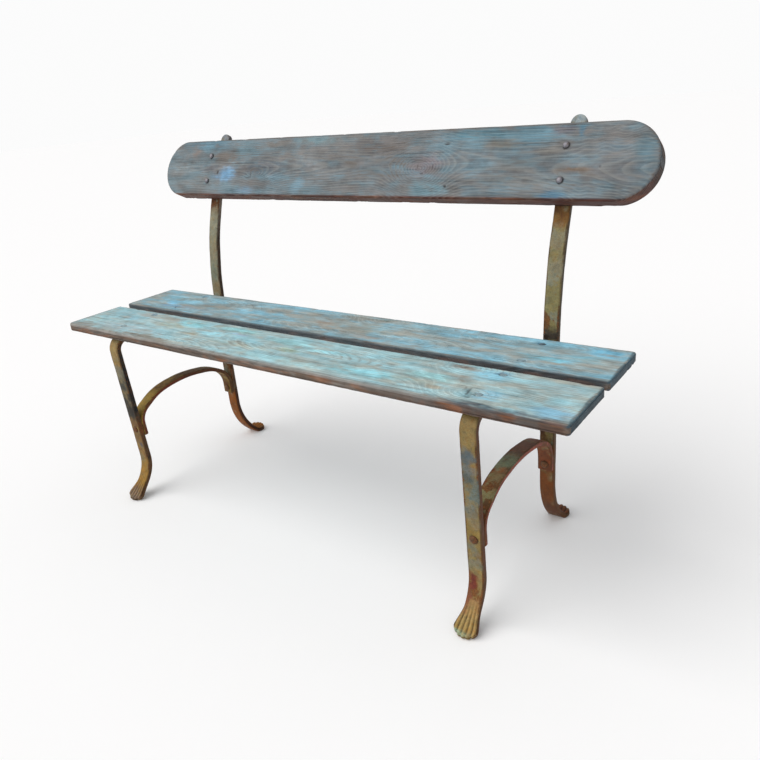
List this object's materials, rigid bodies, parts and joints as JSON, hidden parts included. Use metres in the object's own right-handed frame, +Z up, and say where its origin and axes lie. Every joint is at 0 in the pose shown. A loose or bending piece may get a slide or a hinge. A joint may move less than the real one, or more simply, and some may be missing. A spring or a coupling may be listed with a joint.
{
  "type": "garden bench",
  "caption": "Free-standing garden bench with a slatted wooden seat, a reclined wooden backrest board and forged flat bar side frames on flared, fluted feet.",
  "frame": {"origin": "on the floor, under the middle of the overall box", "axes": "+X along the bench to the sitter's left, +Y to the back, +Z up; the sitter faces -Y"},
  "size_m": [1.292, 0.5246, 0.8382],
  "materials": {
    "seat_wood": "worn pale blue wash over weathered softwood",
    "back_wood": "weathered grey softwood with remains of blue paint",
    "frame_iron": "worn ochre and grey green paint with rust",
    "brace_iron": "rust with remains of ochre paint",
    "fastener_iron": "aged bare iron"
  },
  "bodies": {
    "root": {"back_bolt_lower_left": "fastener_iron", "back_bolt_lower_right": "fastener_iron", "back_bolt_upper_left": "fastener_iron", "back_bolt_upper_right": "fastener_iron", "back_nut_lower_left": "fastener_iron", "back_nut_lower_right": "fastener_iron", "back_nut_upper_left": "fastener_iron", "back_nut_upper_right": "fastener_iron", "back_washer_lower_left": "fastener_iron", "back_washer_lower_right": "fastener_iron", "back_washer_upper_left": "fastener_iron", "back_washer_upper_right": "fastener_iron", "backrest_board": "back_wood", "brace_left": "brace_iron", "brace_right": "brace_iron", "front_leg_left": "frame_iron", "front_leg_right": "frame_iron", "rivet_bearer_left": "fastener_iron", "rivet_bearer_right": "fastener_iron", "rivet_brace_front_left": "fastener_iron", "rivet_brace_front_right": "fastener_iron", "rivet_brace_rear_left": "fastener_iron", "rivet_brace_rear_right": "fastener_iron", "seat_bolt_1_left": "fastener_iron", "seat_bolt_1_right": "fastener_iron", "seat_bolt_2_left": "fastener_iron", "seat_bolt_2_right": "fastener_iron", "seat_bolt_3_left": "fastener_iron", "seat_bolt_3_right": "fastener_iron", "seat_bolt_4_left": "fastener_iron", "seat_bolt_4_right": "fastener_iron", "seat_nut_1_left": "fastener_iron", "seat_nut_1_right": "fastener_iron", "seat_nut_2_left": "fastener_iron", "seat_nut_2_right": "fastener_iron", "seat_nut_3_left": "fastener_iron", "seat_nut_3_right": "fastener_iron", "seat_nut_4_left": "fastener_iron", "seat_nut_4_right": "fastener_iron", "seat_plank_front": "seat_wood", "seat_plank_rear": "seat_wood", "upright_left": "frame_iron", "upright_right": "frame_iron"}
  },
  "joints": []
}
